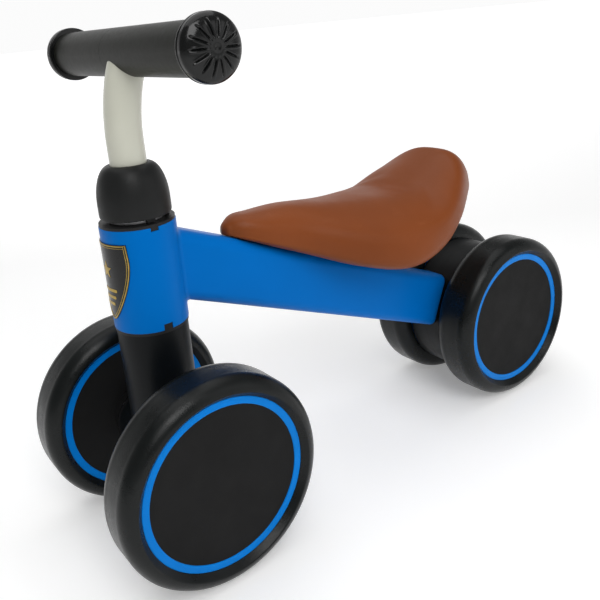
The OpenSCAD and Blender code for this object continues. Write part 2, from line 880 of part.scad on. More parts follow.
head_tube();
main_tube();
rear_bracket();
rear_axle_tube();
end_plugs(  // rear_bushes
    rear_x, rear_y, rear_tube_half, rear_tube_in_r, rear_tube_r, rear_flange_t, 7
);
axle(rear_x, rear_y);  // rear_axle
axle_screws(rear_x, rear_y);  // rear_axle_screws
drum_shell(1);  // rear_cover_left
drum_shell(-1);  // rear_cover_right
rear_cover_screws();
upper_bush();
lower_bush();
head_badge();
saddle_pad();
saddle_base();
saddle_bracket();
saddle_screws();
fork_tube();
fork_crown();
steerer_tube();
front_crosstube();
end_plugs(  // front_end_caps
    front_x, front_y, crosstube_half, crosstube_in_r, crosstube_r, cap_flange_t, 10
);
axle(front_x, front_y);  // front_axle
axle_screws(front_x, front_y);  // front_axle_screws
steering_washer();
stop_ring();
clamp_collar();
clamp_screw();
bell_cover();
handlebar_post();
handlebar_core();
grip(seam_y, cap_y);  // grip_left
grip(-cap_y, seam_y - seam_gap);  // grip_right
end_cap(1);  // end_cap_left
end_cap(-1);  // end_cap_right
for (wheel = [
    ["front_left", front_x, front_y, 1], ["front_right", front_x, front_y, -1],
    ["rear_left", rear_x, rear_y, 1], ["rear_right", rear_x, rear_y, -1]
]) wheel_place(wheel[1], wheel[2], wheel[3]) {
    tyre();
    rim();
    outer_cover();
    inner_cover();
    cover_screws();
    bearings();
}
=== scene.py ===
"""Balance bike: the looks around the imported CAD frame. Metres, +X forward, +Z up."""

import json
import math

import bmesh
import bpy
import numpy as np
from mathutils import Matrix, Vector


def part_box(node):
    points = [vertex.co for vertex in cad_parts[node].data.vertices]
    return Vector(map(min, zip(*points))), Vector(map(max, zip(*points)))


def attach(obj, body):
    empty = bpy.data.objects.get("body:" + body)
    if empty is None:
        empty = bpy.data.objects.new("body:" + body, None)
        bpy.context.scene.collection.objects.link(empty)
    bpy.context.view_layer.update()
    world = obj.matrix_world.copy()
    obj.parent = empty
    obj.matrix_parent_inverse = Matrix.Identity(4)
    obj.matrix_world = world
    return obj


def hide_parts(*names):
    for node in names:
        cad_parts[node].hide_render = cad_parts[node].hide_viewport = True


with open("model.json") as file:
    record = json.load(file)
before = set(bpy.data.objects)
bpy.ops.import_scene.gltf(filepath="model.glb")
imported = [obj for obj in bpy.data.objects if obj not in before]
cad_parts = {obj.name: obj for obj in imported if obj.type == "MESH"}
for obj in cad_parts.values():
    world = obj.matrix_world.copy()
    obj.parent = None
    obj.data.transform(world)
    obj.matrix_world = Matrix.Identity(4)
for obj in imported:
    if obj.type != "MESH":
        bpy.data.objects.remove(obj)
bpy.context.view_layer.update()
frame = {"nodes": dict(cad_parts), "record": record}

MM = 0.001
WHEELS = ("front_left", "front_right", "rear_left", "rear_right")


def centre(node):
    lo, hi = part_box(node)
    return (lo + hi) / 2


# ---------- places taken from the frame ----------

axle_rear = centre("rear_axle")
head_lo, head_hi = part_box("head_tube")
head_x = (head_lo.x + head_hi.x) / 2
head_r = (head_hi.x - head_lo.x) / 2
core_lo, core_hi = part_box("handlebar_core")
bar = (core_lo + core_hi) / 2
cap_l_lo, cap_l_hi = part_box("end_cap_left")
core_in_r = (core_hi.x - core_lo.x) / 2 - 2 * MM
bell_lo, bell_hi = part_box("bell_cover")
post_r = (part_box("handlebar_post")[1].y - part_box("handlebar_post")[0].y) / 2
tyre_lo, tyre_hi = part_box("front_left_tyre")
wheel_r = (tyre_hi.z - tyre_lo.z) / 2
tyre_w = tyre_hi.y - tyre_lo.y
rim_r = (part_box("front_left_rim")[1].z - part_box("front_left_rim")[0].z) / 2
tube_lo, tube_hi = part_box("main_tube")


# ---------- mesh helpers ----------


def new_object(name, verts, faces, smooth=True):
    mesh = bpy.data.meshes.new(name)
    mesh.from_pydata([tuple(v) for v in verts], [], [tuple(f) for f in faces])
    mesh.validate()
    mesh.update()
    if smooth:
        mesh.shade_smooth()
    obj = bpy.data.objects.new(name, mesh)
    bpy.context.scene.collection.objects.link(obj)
    return obj


def fix_normals(obj):
    bm = bmesh.new()
    bm.from_mesh(obj.data)
    bmesh.ops.remove_doubles(bm, verts=bm.verts, dist=1e-6)
    bmesh.ops.recalc_face_normals(bm, faces=bm.faces)
    bm.to_mesh(obj.data)
    bm.free()


def sharpen(obj, angle=35):
    """Smooth shading with sharp edges where faces meet at more than the angle."""
    obj.data.shade_smooth()
    bm = bmesh.new()
    bm.from_mesh(obj.data)
    limit = math.radians(angle)
    for e in bm.edges:
        e.smooth = not (len(e.link_faces) == 2 and e.calc_face_angle(0) > limit)
    bm.to_mesh(obj.data)
    bm.free()


def lathe(name, profile, place, steps=128, bump=None):
    """Closed solid of revolution. The profile is (radius, height) pairs around local Z: an open line
    that starts and ends on the axis, or a closed loop off it. bump(r, h, angle) moves a point."""
    on_axis = profile[0][0] == 0
    ring = profile[1:-1] if on_axis else profile
    n = len(ring)
    verts = []
    for k in range(steps):
        a = 2 * math.pi * k / steps
        for r, h in ring:
            if bump:
                r, h = bump(r, h, a)
            verts.append((r * math.cos(a), r * math.sin(a), h))
    faces = []
    last = n - 1 if on_axis else n
    for k in range(steps):
        j = (k + 1) % steps
        for i in range(last):
            m = (i + 1) % n
            faces.append((k * n + i, j * n + i, j * n + m, k * n + m))
    if on_axis:
        low, high = len(verts), len(verts) + 1
        verts += [(0, 0, profile[0][1]), (0, 0, profile[-1][1])]
        for k in range(steps):
            j = (k + 1) % steps
            faces.append((low, j * n, k * n))
            faces.append((high, k * n + n - 1, j * n + n - 1))
    verts = [place @ Vector(v) for v in verts]
    obj = new_object(name, verts, faces)
    fix_normals(obj)
    sharpen(obj)
    return obj


def ring_skin(name, verts, n):
    """Closed skin through rings of n points each, with the last ring joined to the first."""
    count = len(verts) // n
    faces = []
    for i in range(count):
        j = (i + 1) % count
        for k in range(n):
            m = (k + 1) % n
            faces.append((i * n + k, i * n + m, j * n + m, j * n + k))
    obj = new_object(name, verts, faces)
    fix_normals(obj)
    sharpen(obj, 40)
    return obj


def arc(cx, cy, r, start, end, n):
    """Points on a circle's arc, in degrees."""
    return [
        (
            cx + r * math.cos(math.radians(start + (end - start) * i / n)),
            cy + r * math.sin(math.radians(start + (end - start) * i / n)),
        )
        for i in range(n + 1)
    ]


def across(point, side):
    """Local +Z to world +Y or -Y, at a point."""
    turn = Matrix.Rotation(math.radians(-90 * side), 4, "X")
    return Matrix.Translation(point) @ turn


# ---------- materials ----------


def srgb(r, g, b):
    out = []
    for c in (r / 255, g / 255, b / 255):
        out.append(c / 12.92 if c <= 0.04045 else ((c + 0.055) / 1.055) ** 2.4)
    return out


class Mat:
    """A procedural material: broad colour drift, roughness drift, and a fine relief."""

    def __init__(self, name, color, rough, metallic=0.0, coat=0.0, coat_rough=0.1, spec=0.5):
        self.mat = bpy.data.materials.new(name)
        self.mat.use_nodes = True
        self.nodes = self.mat.node_tree.nodes
        self.links = self.mat.node_tree.links
        self.shader = self.nodes["Principled BSDF"]
        self.shader.inputs["Metallic"].default_value = metallic
        self.shader.inputs["Coat Weight"].default_value = coat
        self.shader.inputs["Coat Roughness"].default_value = coat_rough
        self.shader.inputs["Specular IOR Level"].default_value = spec
        self.coord = self.nodes.new("ShaderNodeTexCoord").outputs["Object"]
        self.color = list(color) + [1]
        self.rough = rough
        self.color_out = None
        self.height = None

    def stretch(self, scale):
        mapping = self.nodes.new("ShaderNodeMapping")
        mapping.inputs["Scale"].default_value = scale
        self.links.new(self.coord, mapping.inputs["Vector"])
        return mapping.outputs["Vector"]

    def noise(self, scale, detail=3.0, rough=0.5, vector=None, distortion=0.0):
        n = self.nodes.new("ShaderNodeTexNoise")
        n.inputs["Scale"].default_value = scale
        n.inputs["Detail"].default_value = detail
        n.inputs["Roughness"].default_value = rough
        n.inputs["Distortion"].default_value = distortion
        self.links.new(vector or self.coord, n.inputs["Vector"])
        return n.outputs["Fac"]

    def cells(self, scale, feature="F1", vector=None):
        n = self.nodes.new("ShaderNodeTexVoronoi")
        n.feature = feature
        n.inputs["Scale"].default_value = scale
        self.links.new(vector or self.coord, n.inputs["Vector"])
        return n.outputs["Distance"]

    def remap(self, value, a, b, c, d):
        n = self.nodes.new("ShaderNodeMapRange")
        for key, v in zip(("From Min", "From Max", "To Min", "To Max"), (a, b, c, d)):
            n.inputs[key].default_value = v
        self.links.new(value, n.inputs["Value"])
        return n.outputs["Result"]

    def math(self, kind, a, b):
        n = self.nodes.new("ShaderNodeMath")
        n.operation = kind
        for slot, v in zip(n.inputs, (a, b)):
            if isinstance(v, (int, float)):
                slot.default_value = v
            else:
                self.links.new(v, slot)
        return n.outputs[0]

    def mix(self, fac, a, b):
        n = self.nodes.new("ShaderNodeMix")
        n.data_type = "RGBA"
        for slot, v in ((n.inputs["A"], a), (n.inputs["B"], b)):
            if isinstance(v, (list, tuple)):
                slot.default_value = list(v)[:3] + [1]
            else:
                self.links.new(v, slot)
        self.links.new(fac, n.inputs["Factor"])
        return n.outputs["Result"]

    def drift(self, scale=9.0, dark=0.88, light=1.1):
        """Broad colour variation between a darker and a lighter tone."""
        fac = self.remap(self.noise(scale, 4.0), 0.3, 0.7, 0.0, 1.0)
        lo = [min(1, c * dark) for c in self.color[:3]]
        hi = [min(1, c * light) for c in self.color[:3]]
        self.color_out = self.mix(fac, lo, hi)
        return self

    def spots(self, color, scale, low, high, strength=1.0):
        """Small marks of another colour where a noise peaks."""
        fac = self.remap(self.noise(scale, 2.0, 0.6), low, high, 0.0, strength)
        self.color_out = self.mix(fac, self.color_out or self.color, color)
        return self

    def wear(self, color, scale, low, high):
        """Scuffs: long thin patches of another tone."""
        streak = self.stretch((1.0, 1.0, 4.0))
        fac = self.remap(self.noise(scale, 5.0, 0.7, streak), low, high, 0.0, 0.6)
        self.color_out = self.mix(fac, self.color_out or self.color, color)
        return self

    def relief(self, height, amount):
        """Adds a height, in metres, to the bump."""
        h = self.math("MULTIPLY", height, amount)
        self.height = h if self.height is None else self.math("ADD", self.height, h)
        return self

    def done(self, rough_var=0.06, rough_scale=30.0):
        r = self.remap(
            self.noise(rough_scale, 4.0, 0.6),
            0.3,
            0.7,
            max(0.02, self.rough - rough_var),
            min(1.0, self.rough + rough_var),
        )
        self.links.new(r, self.shader.inputs["Roughness"])
        if self.color_out is None:
            self.shader.inputs["Base Color"].default_value = self.color
        else:
            self.links.new(self.color_out, self.shader.inputs["Base Color"])
        if self.height is not None:
            bump = self.nodes.new("ShaderNodeBump")
            bump.inputs["Strength"].default_value = 1.0
            bump.inputs["Distance"].default_value = 1.0
            self.links.new(self.height, bump.inputs["Height"])
            self.links.new(bump.outputs["Normal"], self.shader.inputs["Normal"])
        return self.mat


def make_materials():
    out = {}
    m = Mat("frame_paint", srgb(0, 106, 191), 0.38, spec=0.1)
    m.drift(7, 0.94, 1.05).spots(srgb(20, 110, 190), 520, 0.74, 0.8, 0.3)
    m.relief(m.noise(420, 2.0), 2e-5).relief(m.noise(60, 2.0), 6e-5)
    out["frame_paint"] = m.done(0.05)
    m.shader.inputs["Specular Tint"].default_value = (0.12, 0.6, 1, 1)

    m = Mat("black_paint", srgb(13, 16, 18), 0.4, spec=0.13)
    m.drift(12, 0.85, 1.15).spots(srgb(50, 52, 54), 700, 0.72, 0.8, 0.4)
    m.relief(m.noise(900, 2.0), 5e-5).relief(m.noise(90, 2.0), 8e-5)
    out["black_paint"] = m.done(0.06)

    m = Mat("post_paint", srgb(198, 198, 184), 0.24, coat=0.3, coat_rough=0.1, spec=0.3)
    m.drift(14, 0.97, 1.02).spots(srgb(150, 146, 132), 420, 0.74, 0.8, 0.4)
    m.relief(m.noise(300, 2.0), 1.2e-5)
    out["post_paint"] = m.done(0.03)

    m = Mat("steel", srgb(176, 176, 178), 0.34, metallic=1.0)
    m.drift(60, 0.8, 1.1)
    m.relief(m.noise(900, 3.0, 0.6, m.stretch((1.0, 0.08, 1.0))), 3e-5)
    out["steel"] = m.done(0.1, 200)

    m = Mat("bearing_steel", srgb(190, 190, 194), 0.2, metallic=1.0)
    m.drift(80, 0.85, 1.1)
    out["bearing_steel"] = m.done(0.06, 200)

    m = Mat("nylon", srgb(22, 22, 23), 0.48, spec=0.25)
    m.drift(40, 0.8, 1.2)
    m.relief(m.noise(1500, 2.0), 4e-5)
    out["nylon"] = m.done(0.07, 90)

    m = Mat("tyre_foam", srgb(15, 18, 18), 0.3, spec=0.22)
    m.drift(18, 0.8, 1.25).spots(srgb(64, 66, 64), 260, 0.77, 0.8, 0.5)
    m.wear(srgb(30, 31, 29), 90, 0.68, 0.84)
    m.relief(m.cells(1600), 5e-5).relief(m.noise(150, 3.0), 1.2e-4)
    out["tyre_foam"] = m.done(0.08, 45)

    m = Mat("rim_plastic", srgb(0, 122, 214), 0.38, spec=0.25)
    m.drift(20, 0.9, 1.08)
    m.relief(m.noise(1300, 2.0), 4e-5)
    out["rim_plastic"] = m.done(0.05, 60)
    m.shader.inputs["Specular Tint"].default_value = (0.12, 0.6, 1, 1)

    m = Mat("disc_plastic", srgb(24, 24, 24), 0.66, spec=0.13)
    m.drift(14, 0.86, 1.12)
    m.relief(m.noise(2200, 2.0), 6e-5).relief(m.noise(40, 2.0), 1.0e-4)
    out["disc_plastic"] = m.done(0.06, 60)

    m = Mat("drum_plastic", srgb(18, 20, 21), 0.42, spec=0.17)
    m.drift(22, 0.85, 1.15)
    m.relief(m.noise(1500, 2.0), 4e-5).relief(m.noise(70, 2.0), 1.2e-4)
    out["drum_plastic"] = m.done(0.06, 60)

    m = Mat("bell_plastic", srgb(25, 26, 26), 0.46, spec=0.2)
    m.drift(25, 0.88, 1.12)
    m.relief(m.noise(1900, 2.0), 6e-5)
    out["bell_plastic"] = m.done(0.06, 80)

    m = Mat("cap_plastic", srgb(12, 13, 13), 0.2, coat=0.15, coat_rough=0.05, spec=0.25)
    m.drift(60, 0.8, 1.2).spots(srgb(60, 60, 62), 600, 0.76, 0.82, 0.5)
    m.relief(m.noise(260, 2.0), 5e-5)
    out["cap_plastic"] = m.done(0.05, 120)

    m = Mat("grip_rubber", srgb(27, 28, 24), 0.42, spec=0.15)
    m.drift(22, 0.96, 1.04).spots(srgb(50, 50, 46), 900, 0.72, 0.82, 0.25)
    m.relief(m.noise(1800, 3.0), 4e-5)
    out["grip_rubber"] = m.done(0.03, 300)

    m = Mat("badge", srgb(9, 9, 9), 0.24, coat=0.2, coat_rough=0.06, spec=0.25)
    m.drift(90, 0.8, 1.3)
    m.relief(m.noise(500, 2.0), 2e-5)
    out["badge"] = m.done(0.05, 150)

    m = Mat("badge_gold", srgb(176, 150, 78), 0.36, metallic=1.0)
    m.drift(220, 0.75, 1.12)
    m.relief(m.noise(1400, 2.0), 3e-5)
    out["badge_gold"] = m.done(0.08, 300)

    m = Mat("saddle_skin", srgb(124, 63, 26), 0.42, spec=0.17)
    m.drift(11, 0.9, 1.1).wear(srgb(140, 78, 44), 45, 0.6, 0.85)
    m.spots(srgb(92, 48, 26), 480, 0.66, 0.8, 0.25)
    grain = m.remap(m.cells(780), 0.0, 0.7, 0.0, 1.0)
    m.relief(grain, 5e-5).relief(m.noise(1500, 3.0), 3e-5).relief(m.noise(38, 3.0), 2.5e-4)
    out["saddle_skin"] = m.done(0.07, 26)

    m = Mat("board_plastic", srgb(20, 20, 20), 0.55, spec=0.2)
    m.drift(30, 0.8, 1.2)
    m.relief(m.noise(900, 2.0), 8e-5)
    out["board_plastic"] = m.done(0.06, 80)
    return out


MATS = make_materials()


def dress(obj, material, body, slot, *replaced):
    obj.data.materials.clear()
    obj.data.materials.append(MATS[material])
    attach(obj, body)
    if replaced:
        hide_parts(*replaced)
    return obj


for part in frame["record"]["subparts"]:
    node = frame["nodes"][part["node"]]
    for s in node.material_slots:
        s.material = MATS[part["material_slot"]]
    if not node.material_slots:
        node.data.materials.append(MATS[part["material_slot"]])


# ---------- wheels ----------


def tyre_profile(open_back):
    """Closed loop: a slightly crowned tread, round shoulders and a bevel down to the blue ring.
    A rear tyre has no bevel on its back, which stands against the drum cover."""
    half = tyre_w / 2
    shoulder = 11 * MM
    low = rim_r + 0.05 * MM
    ring = half - 4.3 * MM
    crest = low + 3.9 * MM
    flat_half = 8 * MM
    crown = 0.1 * MM
    lip = [(low, ring), ((low + crest) / 2, (ring + half) / 2 - 0.1 * MM)]
    lip += [(crest - 0.5 * MM, half - 0.55 * MM), (crest - 0.2 * MM, half - 0.24 * MM)]
    lip += [(crest + 0.12 * MM, half - 0.06 * MM)]
    turns = [k * math.pi / 12 for k in range(-5, 6)]
    tread = [(wheel_r - crown * (1 - math.cos(t)), flat_half * 2 * t / math.pi) for t in turns]
    left = lip + [(crest + 0.5 * MM, half)]
    left += [(r, h) for r, h in reversed(arc(wheel_r - shoulder, half - shoulder, shoulder, 0, 84, 16))]
    right = [(r, -h) for r, h in reversed(left)]
    if not open_back:
        right = [p for p in right if p[0] > crest + 0.4 * MM]
        right += [(low + 0.6 * MM, -half), (low, 0.6 * MM - half)]
    return left + tread[::-1] + right


def build_wheels():
    for w in WHEELS:
        profile = tyre_profile(w.startswith("front"))
        side = 1 if w.endswith("left") else -1
        place = across(centre(w + "_tyre"), side)
        tyre = lathe(w + "_foam_tyre", profile, place, 144)
        dress(tyre, "tyre_foam", w + "_wheel", "tyre_foam", w + "_tyre")


build_wheels()


# ---------- end caps ----------

CAP_GROOVES = 14

def cap_relief(radius, height):
    """Narrow grooves that fan out over the dome, round a smooth middle."""

    def bump(r, h, a):
        if h < 0.35 * height or r > 0.95 * radius:
            return r, h
        off = (a * CAP_GROOVES / (2 * math.pi) + 0.5) % 1 - 0.5
        along = r / radius
        beside = abs(off) * 2 * math.pi / CAP_GROOVES * r / MM
        fade = np.clip((along - 0.24) / 0.1, 0, 1) * np.clip((0.86 - along) / 0.16, 0, 1)
        depth = 1.0 * MM * fade * math.exp(-((beside / 0.5) ** 2))
        rise = 0.2 * MM * fade * math.exp(-(((beside - 1.15) / 0.45) ** 2))
        return r, h - depth + rise

    return bump


def build_caps():
    cap_r = (cap_l_hi.x - cap_l_lo.x) / 2
    cap_face = core_hi.y + 2.05 * MM
    height = cap_l_hi.y - cap_face
    rim = 5 * MM
    hollow_r, boss_r = 0.13 * cap_r, 0.05 * cap_r
    bead_r = 0.9 * MM
    spigot = core_in_r - 0.05 * MM
    deep = cap_face - cap_l_lo.y
    for side, name in ((1, "end_cap_left"), (-1, "end_cap_right")):
        dome = []
        for i in range(57):
            t = i / 56 * math.pi / 2
            r = cap_r * math.cos(t) ** 0.85 if i < 56 else 0.0
            h = rim + (height - rim) * math.sin(t) ** 0.95
            if r < hollow_r:
                h -= 0.7 * MM * (1 - (r / hollow_r) ** 2) ** 2
            if r < boss_r:
                h += 0.8 * MM * (1 - (r / boss_r) ** 2)
            dome.append((r, h))
        bead = arc(cap_r - bead_r, bead_r, bead_r, -90, 0, 6)
        bead += arc(cap_r - bead_r, 1.3 * MM, bead_r, 0, 60, 4)
        groove = [(cap_r - 0.55 * MM, 2.35 * MM), (cap_r - 0.12 * MM, 2.8 * MM)]
        profile = [(0, -deep), (spigot - 0.8 * MM, -deep), (spigot, 0.8 * MM - deep), (spigot, 0)]
        profile += bead + groove + dome
        place = across(Vector((bar.x, side * cap_face, bar.z)), side)
        cap = lathe("moulded_" + name, profile, place, CAP_GROOVES * 22, cap_relief(cap_r, height))
        dress(cap, "cap_plastic", "steering", "cap_plastic", name)


build_caps()


# ---------- bell cover ----------


def build_bell():
    r = (bell_hi.x - bell_lo.x) / 2
    h = bell_hi.z - bell_lo.z
    wall = 1.8 * MM
    neck = post_r + 0.2 * MM
    top_r = post_r + 1.2 * MM
    straight = 0.28 * h
    outer = [(r - 0.9 * MM, 0.0), (r - 0.45 * MM, 0.25 * MM), (r - 0.12 * MM, 1.2 * MM)]
    outer += [(r, 2.5 * MM)]
    for i in range(25):
        a = math.radians(i * 3.75)
        outer.append((r - (r - top_r) * (1 - math.cos(a)), straight + (h - straight) * math.sin(a)))
    outer[-1] = (top_r, h - 0.05 * MM)
    rim = [(top_r - 0.4 * MM, h), (neck, h - 0.3 * MM), (neck, h - wall)]
    inner = []
    for i in range(12, -1, -1):
        a = math.radians(i * 7.5)
        x = r - wall - (r - top_r) * (1 - math.cos(a))
        z = straight + (h - straight - wall) * math.sin(a)
        inner.append((max(x, neck), z))
    inner += [(r - wall, 2.5 * MM), (r - wall - 0.3 * MM, 0.0)]
    place = Matrix.Translation((head_x, 0, bell_lo.z))
    bell = lathe("moulded_bell", outer + rim + inner[1:], place, 128)
    dress(bell, "bell_plastic", "steering", "bell_plastic", "bell_cover")


build_bell()


# ---------- handlebar post ----------


def build_post():
    """Tube that rises, bends back and is coped to the bar's core."""
    bend_r, bend = 130 * MM, math.radians(25)
    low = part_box("handlebar_post")[0].z
    bend_z = bar.z - bend_r * math.sin(bend)
    core_r = core_in_r + 2.05 * MM
    stations = [(head_x, z, 0.0) for z in np.linspace(low, bend_z, 15)[:-1]]
    reach = bend - (core_r + 1.5 * MM) / bend_r
    for a in np.linspace(0, reach, 26):
        stations.append((head_x - bend_r * (1 - math.cos(a)), bend_z + bend_r * math.sin(a), a))
    n = 96
    verts = []

    def circle(r, x, z, a):
        for k in range(n):
            t = 2 * math.pi * k / n
            u, v = r * math.cos(t), r * math.sin(t)
            verts.append((x + u * math.cos(a), v, z + u * math.sin(a)))

    def coped(r):
        for k in range(n):
            t = 2 * math.pi * k / n
            u, v = r * math.cos(t), r * math.sin(t)
            back = math.sqrt(core_r**2 - u * u)
            x = bar.x + u * math.cos(bend) + back * math.sin(bend)
            verts.append((x, v, bar.z + u * math.sin(bend) - back * math.cos(bend)))

    for x, z, a in stations:
        circle(post_r, x, z, a)
    coped(post_r)
    coped(post_r - 2 * MM)
    for x, z, a in reversed(stations):
        circle(post_r - 2 * MM, x, z, a)
    post = ring_skin("bent_post", verts, n)
    dress(post, "post_paint", "steering", "post_paint", "handlebar_post")


build_post()


# ---------- main tube ----------

tube_w = min(tube_hi.y - tube_lo.y, 30.6 * MM)
tube_h = 48.5 * MM
tube_corner = 9 * MM
tube_wall = 2 * MM
tube_drop = 0.6 * MM
tube_rise = 45.8 * MM
tube_a = math.atan((head_lo.z + tube_rise - (axle_rear.z - tube_drop)) / (head_x - axle_rear.x))
tube_origin = Vector((axle_rear.x, 0, axle_rear.z - tube_drop))
cope_r = 66 * MM


def section(w, h, r, n=10):
    """Rounded rectangle as (y, z) points, and the outward normal of each."""
    pts, normals = [], []
    for cy, cz, start in (
        (w / 2 - r, h / 2 - r, 0),
        (-(w / 2 - r), h / 2 - r, 90),
        (-(w / 2 - r), -(h / 2 - r), 180),
        (w / 2 - r, -(h / 2 - r), 270),
    ):
        for i in range(n + 1):
            a = math.radians(start + 90 * i / n)
            pts.append((cy + r * math.cos(a), cz + r * math.sin(a)))
            normals.append((math.cos(a), math.sin(a)))
    return pts, normals


def tube_point(s, y, z):
    ca, sa = math.cos(tube_a), math.sin(tube_a)
    return tube_origin + Vector((s * ca - z * sa, y, s * sa + z * ca))


def head_s(y, z, gap=0.05 * MM):
    """Where the line at (y, z) along the tube meets the head tube."""
    reach = head_x - math.sqrt((head_r + gap) ** 2 - y * y)
    return (reach - tube_origin.x + z * math.sin(tube_a)) / math.cos(tube_a)


def cope_s(z):
    """Where the line at height z meets the hollow round the rear drum."""
    ca, sa = math.cos(tube_a), math.sin(tube_a)
    px, pz = -z * sa, tube_origin.z - axle_rear.z + z * ca
    b = px * ca + pz * sa
    return -b + math.sqrt(b * b - (px * px + pz * pz - cope_r**2))


def build_tube():
    pts, normals = section(tube_w, tube_h, tube_corner)
    inner, _ = section(tube_w - 2 * tube_wall, tube_h - 2 * tube_wall, tube_corner - tube_wall)
    weld = 3.6 * MM
    rings = []
    shares = [0, 0.002, 0.006] + [0.02 + 0.96 * i / 24 for i in range(25)]
    for t in shares:
        ring = []
        for (y, z), (ny, nz) in zip(pts, normals):
            a, b = cope_s(z), head_s(y, z) - weld
            round_end = 0.5 * MM * (1 - min(1, t / 0.006)) ** 2
            ring.append(tube_point(a + (b - a) * t, y - ny * round_end, z - nz * round_end))
        rings.append(ring)
    for k in range(1, 9):
        u = k / 8
        ring = []
        for (y, z), (ny, nz) in zip(pts, normals):
            out = 2.4 * MM * (1 - math.sqrt(max(0, 1 - u * u)))
            yy, zz = y + ny * out, z + nz * out
            ring.append(tube_point(head_s(yy, zz) - weld * (1 - u), yy, zz))
        rings.append(ring)
    for share in (1, 0.5, 0):
        ring = []
        for y, z in inner:
            a, b = cope_s(z), head_s(y, z)
            ring.append(tube_point(a + (b - a) * share, y, z))
        rings.append(ring)
    verts = [v for ring in rings for v in ring]
    tube = ring_skin("box_section_tube", verts, len(pts))
    dress(tube, "frame_paint", "frame", "frame_paint", "main_tube")


build_tube()


# ---------- badge: a plain shield with a double border, a star and bars ----------

badge_lo, badge_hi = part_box("head_badge")


def shield_outline(n=44):
    half, tall = 19.6 * MM, badge_hi.z - badge_lo.z
    side = []
    for i in range(n + 1):
        t = i / n
        side.append((half * math.cos(math.pi / 2 * t) ** 0.62 if i < n else 0.0, tall * (1 - t) * 0.8))
    side.reverse()
    corner = [(half * 0.985, tall * 0.9), (half * 0.97, tall)]
    top = [(half * 0.97 * (1 - i / 12), tall) for i in range(1, 12)]
    right = side + corner + top
    left = [(-y, z) for y, z in reversed(right[1:])]
    line = np.array(right + left)
    keep = [0]
    for i in range(1, len(line)):
        if np.linalg.norm(line[i] - line[keep[-1]]) > 1e-5:
            keep.append(i)
    return line[keep]


def inset(line, d):
    """The outline moved inwards."""
    ahead, behind = np.roll(line, -1, 0), np.roll(line, 1, 0)
    t = ahead - behind
    t /= np.linalg.norm(t, axis=1)[:, None]
    return line + np.stack([-t[:, 1], t[:, 0]], 1) * d


def on_head(y, z, lift):
    r = head_r + lift
    a = y / (head_r + 0.9 * MM)
    return Vector((head_x + r * math.cos(a), r * math.sin(a), badge_lo.z + z))


def arc_outline(line):
    """Outline with its widths measured round the head tube."""
    out = line.copy()
    r = head_r + 0.9 * MM
    out[:, 0] = np.arcsin(np.clip(out[:, 0] / r, -1, 1)) * r
    return out


def plate(name, line, low, high, rings=7):
    """Closed plate that follows the head tube's curve inside an outline."""
    mid = line.mean(0)
    n = len(line)
    verts, faces = [], []
    for lift in (high, low):
        for i in range(rings, 0, -1):
            for y, z in mid + (line - mid) * (i / rings):
                verts.append(on_head(y, z, lift))
        verts.append(on_head(mid[0], mid[1], lift))
    per = rings * n + 1
    for base, flip in ((0, False), (per, True)):
        for i in range(rings - 1):
            for k in range(n):
                m = (k + 1) % n
                f = (base + i * n + k, base + i * n + m, base + (i + 1) * n + m, base + (i + 1) * n + k)
                faces.append(f[::-1] if flip else f)
        for k in range(n):
            m = (k + 1) % n
            f = (base + (rings - 1) * n + k, base + (rings - 1) * n + m, base + per - 1)
            faces.append(f[::-1] if flip else f)
    for k in range(n):
        m = (k + 1) % n
        faces.append((k, per + k, per + m, m))
    obj = new_object(name, verts, faces)
    fix_normals(obj)
    sharpen(obj, 40)
    return obj


def border(name, line, start, width, low, high):
    """Closed raised band along the outline."""
    rows = [
        (inset(line, start), low),
        (inset(line, start), high - 0.08 * MM),
        (inset(line, start + 0.25 * width), high),
        (inset(line, start + 0.75 * width), high),
        (inset(line, start + width), high - 0.08 * MM),
        (inset(line, start + width), low),
    ]
    verts = [on_head(y, z, lift) for pts, lift in rows for y, z in pts]
    return ring_skin(name, verts, len(line))


def star(y0, z0, size):
    pts = []
    for i in range(10):
        r = size if i % 2 == 0 else size * 0.42
        a = math.pi / 2 + i * math.pi / 5
        pts.append((y0 + r * math.cos(a), z0 + r * math.sin(a)))
    return np.array(pts)


def bar_shape(y0, z0, w, h):
    """Bar with round corners."""
    r = h * 0.3
    out = []
    for sy, sz, start in ((1, 1, 0), (-1, 1, 90), (-1, -1, 180), (1, -1, 270)):
        out += arc(y0 + sy * (w / 2 - r), z0 + sz * (h / 2 - r), r, start, start + 90, 3)
    return np.array(out)


def dense(points, step=0.7 * MM):
    """Outline with extra points, so that long edges follow the head tube's curve."""
    out = []
    for a, b in zip(points, np.roll(points, -1, 0)):
        n = max(1, math.ceil(np.linalg.norm(b - a) / step))
        out += [a + (b - a) * i / n for i in range(n)]
    return np.array(out)


def build_badge():
    line = arc_outline(shield_outline())
    base, top = 0.06 * MM, 0.62 * MM
    shield = plate("badge_plate", line, base, top)
    dress(shield, "badge", "frame", "badge", "head_badge")
    tall = badge_hi.z - badge_lo.z
    gold = [
        border("badge_border_outer", line, 0.4 * MM, 0.8 * MM, top - 0.1 * MM, top + 0.2 * MM),
        border("badge_border_inner", line, 2.1 * MM, 0.4 * MM, top - 0.1 * MM, top + 0.16 * MM),
        plate("badge_star", dense(star(0, tall * 0.66, 6.2 * MM)), top - 0.1 * MM, top + 0.18 * MM, 6),
    ]
    for i, (z, w) in enumerate(((0.40, 17), (0.31, 13), (0.22, 8.5))):
        shape = bar_shape(0, tall * z, w * MM, 2.1 * MM)
        gold.append(plate(f"badge_bar_{i + 1}", dense(shape), top - 0.1 * MM, top + 0.16 * MM, 6))
    for g in gold:
        dress(g, "badge_gold", "frame", "badge")


build_badge()


# ---------- saddle ----------

